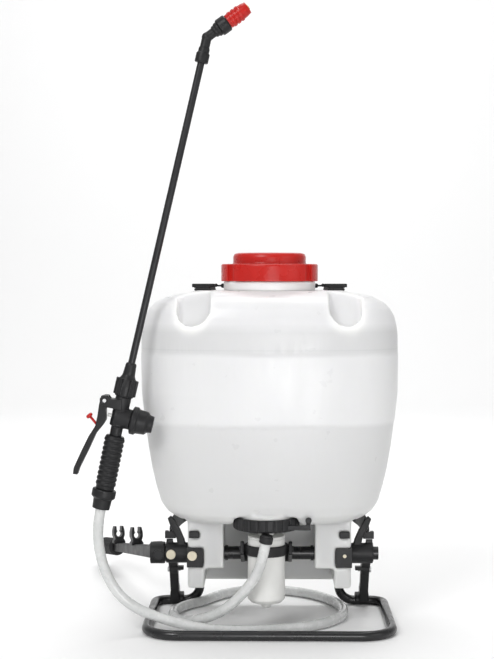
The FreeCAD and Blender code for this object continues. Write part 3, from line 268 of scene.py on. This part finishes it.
MATERIALS = {
    "tank_plastic": tank_plastic(),
    "white_plastic": plastic("white_plastic", (0.74, 0.74, 0.72), 0.38, 0.9, Subsurface_Weight=0.2,
                             Subsurface_Radius=(0.006, 0.006, 0.006), Subsurface_Scale=1.0),
    "black_plastic": plastic("black_plastic", (0.014, 0.014, 0.015), 0.4, Specular_IOR_Level=0.3),
    "cream_plastic": plastic("cream_plastic", (0.68, 0.62, 0.48), 0.45),
    "red_plastic": plastic("red_plastic", (0.5, 0.014, 0.01), 0.28, 0.86, grain_depth=0.00001,
                           Specular_IOR_Level=0.35, Subsurface_Weight=0.12,
                           Subsurface_Radius=(0.006, 0.002, 0.002), Subsurface_Scale=1.0),
    "frame_paint": plastic("frame_paint", (0.01, 0.01, 0.011), 0.3, 0.85, 600, 0.000004, Coat_Weight=0.2,
                           Coat_Roughness=0.15, Specular_IOR_Level=0.4),
    "steel": metal("steel", (0.6, 0.6, 0.61), 0.28),
    "brass": metal("brass", (0.72, 0.5, 0.22), 0.25),
    "rubber": plastic("rubber", (0.02, 0.02, 0.02), 0.72, 0.7, 1500, 0.00006),
    "grip_rubber": plastic("grip_rubber", (0.018, 0.018, 0.019), 0.6, 0.7, 1500, 0.00008,
                           Specular_IOR_Level=0.3),
    "lance_plastic": plastic("lance_plastic", (0.018, 0.018, 0.02), 0.34, Specular_IOR_Level=0.35),
    "hose_vinyl": hose_vinyl(),
    "webbing": woven("webbing", (0.018, 0.018, 0.02), 1.6 * MM, 0.00035),
    "pad_fabric": woven("pad_fabric", (0.022, 0.022, 0.024), 1.1 * MM, 0.00025, 0.88, 0.45),
    "thread": woven("thread", (0.12, 0.12, 0.125), 0.5 * MM, 0.0001),
}
BODY_OF = {node: body for body, nodes in frame["record"]["behaviour"]["bodies"].items() for node in nodes}


def finish_with(piece, slot, material=None):
    """Gives a piece the material of its slot, or the given material in its place."""
    piece.data.materials.clear()
    piece.data.materials.append(MATERIALS[material or slot])


def carry(piece, body, *nodes):
    """Lets a piece move with a body, in place of the CAD nodes that it replaces."""
    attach(piece, body)
    if nodes:
        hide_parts(*nodes)


# ---------------------------------------------------------------- mesh helpers

def new_piece(name, data):
    piece = bpy.data.objects.new(name, data)
    bpy.context.scene.collection.objects.link(piece)
    return piece


def applied(piece):
    """Turns a piece's modifiers into its own mesh."""
    bpy.context.view_layer.update()
    graph = bpy.context.evaluated_depsgraph_get()
    mesh = bpy.data.meshes.new_from_object(piece.evaluated_get(graph))
    piece.modifiers.clear()
    piece.data = mesh
    for polygon in mesh.polygons:
        polygon.use_smooth = True
    return piece


def softened(node, voxel, rounds=2, keep_share=0.4):
    """A copy of a CAD node with the small edge radii of a moulded part, which replaces the plain node."""
    piece = new_piece(node + "_moulded", frame["nodes"][node].data.copy())
    remesh = piece.modifiers.new("remesh", "REMESH")
    remesh.mode = "VOXEL"
    remesh.voxel_size = voxel
    smooth = piece.modifiers.new("smooth", "SMOOTH")
    smooth.iterations = rounds
    thin = piece.modifiers.new("thin", "DECIMATE")
    thin.ratio = keep_share
    applied(piece)
    finish_with(piece, NODE_SLOTS[node])
    carry(piece, BODY_OF[node], node)
    return piece


def smooth_line(points, steps):
    """Points along a curve that passes through the given ones, with as many steps along each stretch."""
    padded = [2 * points[0] - points[1]] + list(points) + [2 * points[-1] - points[-2]]
    line = []
    for before, start, end, after in zip(padded, padded[1:], padded[2:], padded[3:]):
        for step in range(steps):
            t = step / steps
            squared = (2 * before - 5 * start + 4 * end - after) * t ** 2
            cubed = (3 * start - before - 3 * end + after) * t ** 3
            line.append(0.5 * (2 * start + (end - before) * t + squared + cubed))
    line.append(points[-1].copy())
    return line


def lofted(name, rings):
    """A closed mesh skinned over rings of as many points each."""
    shape = bmesh.new()
    loops = [[shape.verts.new(point) for point in ring] for ring in rings]
    for first, second in zip(loops, loops[1:]):
        for index in range(len(first)):
            following = (index + 1) % len(first)
            shape.faces.new((first[index], first[following], second[following], second[index]))
    shape.faces.new(list(reversed(loops[0])))
    shape.faces.new(loops[-1])
    bmesh.ops.recalc_face_normals(shape, faces=shape.faces)
    return mesh_piece(name, shape)


def mesh_piece(name, shape):
    mesh = bpy.data.meshes.new(name)
    shape.to_mesh(mesh)
    shape.free()
    for polygon in mesh.polygons:
        polygon.use_smooth = True
    return new_piece(name, mesh)


def normals_of(piece):
    """Each vertex's normal, read before any vertex moves."""
    return [vertex.normal.copy() for vertex in piece.data.vertices]


def smoothstep(value, low, high):
    t = min(1, max(0, (value - low) / (high - low)))
    return t * t * (3 - 2 * t)


# ---------------------------------------------------------------- hose

# From the handle, over the frame's left side, once round on the ground and up to the pump's outlet.
HOSE_ROUTE = [
    (-224.3, -85, 170), (-229, -85, 147),
    (-227, -83, 112), (-218, -80, 80), (-202, -79, 53), (-178, -79, 34), (-148, -81, 23), (-113, -84, 14),
    (-77, -87, 8), (-37, -87, 7), (8, -81, 7), (49, -66, 7), (82, -39, 7), (102, -2, 7), (106, 40, 7),
    (97, 79, 7), (78, 117, 7), (48, 146, 7), (11, 162, 7), (-29, 160, 7), (-62.5, 141, 7), (-83, 110, 7),
    (-98, 82, 7), (-121, 58, 7), (-135, 24, 7), (-133, -13, 7), (-115, -46, 9), (-85, -69.5, 19),
    (-57, -81, 35), (-36, -85, 56), (-20, -88.5, 76), (-9.8, -94.4, 99.5), (-5, -96, 126),
]
HOSE_RADIUS = 7 * MM


def make_hose():
    """The hose as one round curve through the same points as the design's."""
    curve = bpy.data.curves.new("spray_hose_line", "CURVE")
    curve.dimensions = "3D"
    curve.bevel_depth = HOSE_RADIUS
    curve.bevel_resolution = 6
    curve.resolution_u = 10
    curve.use_fill_caps = True
    spline = curve.splines.new("NURBS")
    spline.points.add(len(HOSE_ROUTE) - 1)
    for point, place in zip(spline.points, HOSE_ROUTE):
        point.co = (*mm(*place), 1)
    spline.order_u = 3
    spline.use_endpoint_u = True
    hose = new_piece("spray_hose_soft", curve)
    finish_with(hose, "hose_vinyl")
    carry(hose, BODY_OF["spray_hose"], "spray_hose")


# ---------------------------------------------------------------- tank

TANK_VOXEL = 2.3 * MM
BAND_RISE = 0.9 * MM
# The wall sways a little, as a blown wall does, and is set in to stay inside the design's size.
WALL_SWAY = 0.25 * MM
WALL_INSET = 0.5 * MM


def make_tank():
    """The blow-moulded tank with rounded edges and a raised band across its front."""
    tank = softened("tank", TANK_VOXEL, 3, 0.6)
    centre_x = (TANK_BOTTOM.x + TANK_TOP.x) / 2
    for vertex, normal in zip(tank.data.vertices, normals_of(tank)):
        place = vertex.co
        outward = Vector((place.x - centre_x, place.y, 0)).normalized().dot(normal)
        if outward <= 0.3:
            continue
        band = smoothstep(place.z, BAND_LOW - 2 * MM, BAND_LOW + 2 * MM)
        band -= smoothstep(place.z, BAND_HIGH - 2 * MM, BAND_HIGH + 2 * MM)
        front = smoothstep(-place.y, 0, 30 * MM)
        sway = WALL_SWAY * math.sin(place.x * 22 + 1) * math.sin(place.z * 17)
        place += normal * (BAND_RISE * band * front - WALL_INSET + sway)
    tank.data.update()


# ---------------------------------------------------------------- moulded and turned parts

EDGE_SIZES = {
    1.0: ("lid", "side_bracket_left", "side_bracket_right", "pump_yoke", "lever_arm", "pump_cylinder"),
    0.9: ("filler_neck", "pump_collar", "lever_grip", "valve_body", "skirt_pegs", "cylinder_cap",
          "trunnion_band"),
    0.7: ("collar_latch", "strap_hook_left", "strap_hook_right", "wand_clip_near", "wand_clip_far",
          "trigger", "valve_cap", "valve_grip", "hose_nut", "wand_nut", "strap_buckle_left",
          "strap_buckle_right"),
    0.55: ("lever_pin", "trigger_lock", "nozzle_elbow", "nozzle_nut", "bearing_plugs", "foot_valve",
           "outlet_elbow"),
}


def make_moulded_parts():
    """Gives the moulded nodes their edge radii, finer on smaller parts."""
    for voxel, nodes in EDGE_SIZES.items():
        for node in nodes:
            softened(node, voxel * MM)


BALL_RADIUS = 3.2 * MM
BAR_RADIUS = 1.2 * MM
BAR_LENGTH = 10 * MM


def make_hook_ends():
    """The small ball on the inner end of each strap hook's bar."""
    for side, label in ((-1, "left"), (1, "right")):
        low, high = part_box("strap_hook_" + label)
        inner = low.x if side > 0 else high.x
        middle = (low.y + high.y) / 2
        height = high.z - 3 * MM
        shape = bmesh.new()
        bmesh.ops.create_uvsphere(shape, u_segments=20, v_segments=12, radius=BALL_RADIUS)
        bmesh.ops.translate(shape, verts=shape.verts, vec=(inner - 7 * MM * side, middle, height))
        ball = mesh_piece("hook_ball_" + label, shape)
        shape = bmesh.new()
        bmesh.ops.create_cone(shape, cap_ends=True, segments=16, radius1=BAR_RADIUS, radius2=BAR_RADIUS,
                              depth=BAR_LENGTH, matrix=Matrix.Rotation(math.pi / 2, 4, "Y"))
        bmesh.ops.translate(shape, verts=shape.verts, vec=(inner - 3 * MM * side, middle, height))
        for piece in (ball, mesh_piece("hook_bar_" + label, shape)):
            finish_with(piece, "black_plastic")
            carry(piece, "tank_frame")


# ---------------------------------------------------------------- straps

STRAP_X = (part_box("shoulder_pad_right")[0].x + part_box("shoulder_pad_right")[1].x) / 2
PAD_LINE = [(107, 432), (116, 400), (123, 350), (125, 290), (121, 235), (115, 190)]
PAD_WIDTH = 46 * MM
PAD_THICKNESS = 8 * MM
PAD_SWELL = 3 * MM
PAD_VOXEL = 5 * MM
PAD_PRESSURE = 4
SWELL_FRAMES = 20
SEAM_INSET = 7.5 * MM
SEAM_DEPTH = 1.5 * MM
SEAM_HALF_WIDTH = 1.7 * MM
CHANNEL_DEPTH = 1.4 * MM
CHANNEL_HALF_WIDTH = 1.9 * MM
CHANNEL_PITCH = 36 * MM
BINDING_RADIUS = 2.6 * MM
BINDING_INSET = 0.8 * MM
PAD_STEPS = 6
WEBBING_THICKNESS = 2 * MM
WEBBING_WIDTH = 30 * MM
RIDER_WIDTH = 25 * MM
RIDER_THICKNESS = 1.6 * MM
BOX_STITCH_SIZE = 17 * MM
FLAT_SHARE = 0.96
X_AXIS = Vector((1, 0, 0))
Z_AXIS = Vector((0, 0, 1))

# The upper webbing, as points of its middle line (Y, Z), from the hook over the tank's shoulder to the pad.
TOP_LINE = [(13, 465.6), (34, 463.6), (60, 462.4), (82, 459), (97, 447), (105.5, 434)]
# The lower webbing, as its point, the way across it, and its width, from the buckle to the pad's lower end.
LOWER_LINE = [
    ((137.3, -7.5, 124), (0, 0, 1), 16), ((136.9, 4, 126), (0, 0, 1), 17),
    ((135, 28, 130.5), (0, 0, 1), 23), ((131, 70, 129.5), (0, 0, 1), 25),
    ((128, 100, 129), (0, 0, 1), 25), ((125.4, 110.5, 131), (0.2, 0, 1), 25),
    ((119, 113, 139), (0.6, 0, 1), 26), ((107, 113.4, 157), (1, 0, 0.6), 28),
    ((97, 113.6, 175), (1, 0, 0.25), 29), ((92, 114, 196), (1, 0, 0), 29),
]


def pad_half_width(share):
    """Half the pad's width at a share of its length from the top: narrower at both ends."""
    return PAD_WIDTH / 2 * (0.72 + 0.28 * math.sin(math.pi * min(1, max(0, share))) ** 0.45)


def pad_stations(steps):
    line = smooth_line([mm(0, y, z) for y, z in PAD_LINE], steps)
    stations = []
    for index, point in enumerate(line):
        ahead = line[min(index + 1, len(line) - 1)] - line[max(index - 1, 0)]
        normal = ahead.normalized().cross(Vector((1, 0, 0)))
        stations.append((index / (len(line) - 1), point, normal if normal.y > 0 else -normal))
    return stations


def swell(piece):
    """Fills a pad by a short cloth simulation under pressure, and holds each point near its start."""
    start = [vertex.co.copy() for vertex in piece.data.vertices]
    cloth = piece.modifiers.new("cloth", "CLOTH")
    cloth.settings.use_pressure = True
    cloth.settings.uniform_pressure_force = PAD_PRESSURE
    cloth.settings.effector_weights.gravity = 0
    cloth.settings.quality = 6
    scene = bpy.context.scene
    for number in range(1, SWELL_FRAMES + 1):
        scene.frame_set(number)
    applied(piece)
    scene.frame_set(1)
    for vertex, place in zip(piece.data.vertices, start):
        move = vertex.co - place
        if move.length > PAD_SWELL:
            vertex.co = place + move * (PAD_SWELL / move.length)


def sew(piece, strap_x):
    """Presses the border seam and the cross channels into both faces of a swollen pad."""
    low = min(vertex.co.z for vertex in piece.data.vertices)
    high = max(vertex.co.z for vertex in piece.data.vertices)
    for vertex, normal in zip(piece.data.vertices, normals_of(piece)):
        share = (high - vertex.co.z) / (high - low)
        aside = abs(vertex.co.x - strap_x)
        border = pad_half_width(share) - SEAM_INSET
        channel = (vertex.co.z - low) % CHANNEL_PITCH - CHANNEL_PITCH / 2
        groove = SEAM_DEPTH * math.exp(-((aside - border) / SEAM_HALF_WIDTH) ** 2)
        if aside < border:
            groove += CHANNEL_DEPTH * math.exp(-(channel / CHANNEL_HALF_WIDTH) ** 2)
        vertex.co -= normal * groove
    piece.data.update()


def stitches(name, places):
    """Short raised stitches, each from a point, its direction and the surface's normal."""
    shape = bmesh.new()
    half_length, half_width, half_height = 1.25 * MM, 0.4 * MM, 0.35 * MM
    for place, along, normal in places:
        aside = normal.cross(along).normalized()
        ends = [shape.verts.new(place + along * half_length * way) for way in (-1, 1)]
        out, up = aside * half_width, normal * half_height
        ring = [shape.verts.new(place + out * math.cos(turn) + up * math.sin(turn))
                for turn in (0, math.pi / 2, math.pi, -math.pi / 2)]
        for index in range(4):
            for end in ends:
                shape.faces.new((ring[index], ring[(index + 1) % 4], end))
    bmesh.ops.recalc_face_normals(shape, faces=shape.faces)
    return mesh_piece(name, shape)


def surface_stitches(name, piece, rows, pitch=4.2 * MM):
    """Stitches that follow rows of points over both faces of a piece, seen along Y."""
    bpy.context.view_layer.update()
    places = []
    for way in (-1, 1):
        for row in rows:
            for start, end in zip(row, row[1:]):
                count = max(1, round((end - start).length / pitch))
                for step in range(count):
                    point = start.lerp(end, (step + 0.5) / count)
                    ray = (point.x, point.y + 60 * MM * way, point.z)
                    hit, place, normal, _ = piece.ray_cast(ray, (0, -way, 0), distance=90 * MM)
                    if hit:
                        along = end - start
                        along = (along - normal * along.dot(normal)).normalized()
                        places.append((place + normal * 0.1 * MM, along, normal))
    return stitches(name, places)


def make_pad(side, label):
    """A padded strap with its binding and its seam, and the line of stations that it follows."""
    strap_x = STRAP_X * side
    rings = []
    for share, point, normal in pad_stations(PAD_STEPS):
        half = pad_half_width(share)
        ring = []
        for step in range(20):
            turn = 2 * math.pi * step / 20
            across = math.copysign(abs(math.cos(turn)) ** 0.55, math.cos(turn)) * (half + 1.5 * MM)
            up = math.copysign(abs(math.sin(turn)) ** 0.8, math.sin(turn)) * PAD_THICKNESS / 2
            ring.append(point + Vector((strap_x + across, 0, 0)) + normal * up)
        rings.append(ring)
    pad = lofted("shoulder_pad_%s_fabric" % label, rings)
    remesh = pad.modifiers.new("remesh", "REMESH")
    remesh.mode = "VOXEL"
    remesh.voxel_size = PAD_VOXEL
    applied(pad)
    swell(pad)
    finer = pad.modifiers.new("finer", "SUBSURF")
    finer.levels = 2
    applied(pad)
    sew(pad, strap_x)
    finish_with(pad, "pad_fabric")
    carry(pad, "tank_frame", "shoulder_pad_" + label)

    edge = bpy.data.curves.new("edge", "CURVE")
    edge.dimensions = "3D"
    edge.bevel_depth = BINDING_RADIUS
    edge.bevel_resolution = 3
    spline = edge.splines.new("POLY")
    stations = pad_stations(PAD_STEPS)
    outline = [(share, point, way) for way, run in ((-1, stations), (1, list(reversed(stations))))
               for share, point, _ in run]
    spline.points.add(len(outline) - 1)
    spline.use_cyclic_u = True
    for point, (share, place, way) in zip(spline.points, outline):
        point.co = (strap_x + way * (pad_half_width(share) - BINDING_INSET), place.y, place.z, 1)
    binding = new_piece("pad_binding_" + label, edge)
    finish_with(binding, "webbing")
    carry(binding, "tank_frame")

    borders = []
    for way in (-1, 1):
        borders.append([point + Vector((strap_x + way * (pad_half_width(share) - SEAM_INSET), 0, 0))
                        for share, point, _ in stations[1:-1]])
    seam = surface_stitches("pad_seam_" + label, pad, borders)
    finish_with(seam, "webbing", "thread")
    carry(seam, "tank_frame")
    return stations


def ribbon(name, stations, thickness, steps=6):
    """Flat webbing through (point, across, width) stations, with slightly thinner edges."""
    line = smooth_line([point for point, _, _ in stations], steps)
    widths = smooth_line([across.normalized() * width for _, across, width in stations], steps)
    rings = []
    for index, point in enumerate(line):
        ahead = (line[min(index + 1, len(line) - 1)] - line[max(index - 1, 0)]).normalized()
        half = widths[index] - ahead * widths[index].dot(ahead)
        half = half.normalized() * widths[index].length / 2
        normal = ahead.cross(half).normalized() * thickness / 2
        inner = half * FLAT_SHARE
        rings.append([point - inner + normal, point + inner + normal, point + half + normal * 0.5,
                      point + half - normal * 0.5, point + inner - normal, point - inner - normal,
                      point - half - normal * 0.5, point - half + normal * 0.5])
    piece = lofted(name, rings)
    finer = piece.modifiers.new("finer", "SUBSURF")
    finer.levels = 1
    applied(piece)
    return piece


def box_stitch(name, piece, centre, across, along, width, length):
    """A sewn square with a cross in it, which holds two layers of webbing together."""
    corners = [centre + across * width / 2 * u + along * length / 2 * v
               for u, v in ((-1, -1), (1, -1), (1, 1), (-1, 1), (-1, -1), (1, 1))]
    rows = [corners, [centre + across * width / 2 * u - along * length / 2 * u for u in (-1, 1)]]
    return surface_stitches(name, piece, rows, 2.6 * MM)


def make_strap(side, label):
    """One carrying strap: webbing above and below, the pad, and the webbing sewn on its back."""
    aside = X_AXIS * STRAP_X * side
    stations = make_pad(side, label)
    top = ribbon("top_webbing_%s_woven" % label,
                 [(mm(0, y, z) + aside, X_AXIS, WEBBING_WIDTH) for y, z in TOP_LINE], WEBBING_THICKNESS)
    finish_with(top, "webbing")
    carry(top, "tank_frame", "top_webbing_" + label)

    face = [(point + aside + normal * (PAD_THICKNESS / 2 + 3.1 * MM), X_AXIS, RIDER_WIDTH)
            for _, point, normal in stations[1:-1:5]]
    rider = ribbon("pad_webbing_" + label, face, RIDER_THICKNESS)
    finish_with(rider, "webbing")
    carry(rider, "tank_frame")
    for number, (_, point, _) in enumerate((stations[5], stations[-6])):
        sewn = box_stitch("pad_box_stitch_%s_%d" % (label, number), rider, point + aside, X_AXIS, Z_AXIS,
                          BOX_STITCH_SIZE, BOX_STITCH_SIZE)
        finish_with(sewn, "webbing", "thread")
        carry(sewn, "tank_frame")

    lower = ribbon("lower_webbing_%s_woven" % label,
                   [(mm(x * side, y, z), Vector((u * side, v, w)), width * MM)
                    for (x, y, z), (u, v, w), width in LOWER_LINE], WEBBING_THICKNESS)
    finish_with(lower, "webbing")
    carry(lower, "tank_frame", "lower_webbing_" + label)


# ---------------------------------------------------------------- stage and light

FLOOR_FRONT = -3.5
FLOOR_BACK = 3.0
CURVE_RADIUS = 1.5
BACKDROP_HEIGHT = 5.0
STAGE_HALF_WIDTH = 6


def make_stage():
    """A pale floor that curves up into a backdrop."""
    profile = [(FLOOR_FRONT, 0), (FLOOR_BACK, 0)]
    for angle in range(6, 91, 6):
        turn = math.radians(angle)
        profile.append((FLOOR_BACK + CURVE_RADIUS * math.sin(turn), CURVE_RADIUS * (1 - math.cos(turn))))
    profile.append((FLOOR_BACK + CURVE_RADIUS, BACKDROP_HEIGHT))
    shape = bmesh.new()
    rows = [[shape.verts.new((x, y, z)) for x in (-STAGE_HALF_WIDTH, STAGE_HALF_WIDTH)] for y, z in profile]
    for first, second in zip(rows, rows[1:]):
        shape.faces.new((first[0], first[1], second[1], second[0]))
    stage = mesh_piece("stage_floor", shape)
    material, _ = shader("stage_pale", (0.93, 0.93, 0.93), 0.55)
    stage.data.materials.append(material)


def area_light(name, place, aim, size, watts):
    """A square soft light at a place, pointed at another."""
    light = bpy.data.lights.new(name, "AREA")
    light.size = size
    light.energy = watts
    item = new_piece(name, light)
    item.location = place
    item.rotation_euler = (Vector(aim) - Vector(place)).to_track_quat("-Z", "Y").to_euler()


def make_light():
    """A key from the upper left, weak fills from the right, above and low in front, and a lit backdrop."""
    middle = (0, 0, 0.35)
    area_light("key_light", (-1.3, -2.3, 2.1), middle, 1.2, 41)
    area_light("fill_light", (2.2, -1.6, 1.2), middle, 1.6, 9)
    area_light("top_light", (0, 0.3, 2.8), middle, 1.6, 20)
    area_light("low_light", (0.2, -1.6, 0.12), (0, 0.05, 0.1), 0.6, 9)
    area_light("backdrop_light", (0, 1.3, 3.2), (0, 4.3, 0.7), 2.5, 75)
    world = bpy.data.worlds.new("studio")
    world.use_nodes = True
    world.node_tree.nodes["Background"].inputs["Color"].default_value = (1, 1, 1, 1)
    world.node_tree.nodes["Background"].inputs["Strength"].default_value = 0.4
    bpy.context.scene.world = world
    bpy.context.scene.view_settings.view_transform = "Standard"


# ---------------------------------------------------------------- build

make_hose()
for node, item in frame["nodes"].items():
    item.data.materials.clear()
    item.data.materials.append(MATERIALS[NODE_SLOTS[node]])
make_tank()
make_moulded_parts()
make_hook_ends()
for strap_side, strap_label in ((-1, "left"), (1, "right")):
    make_strap(strap_side, strap_label)
make_stage()
make_light()
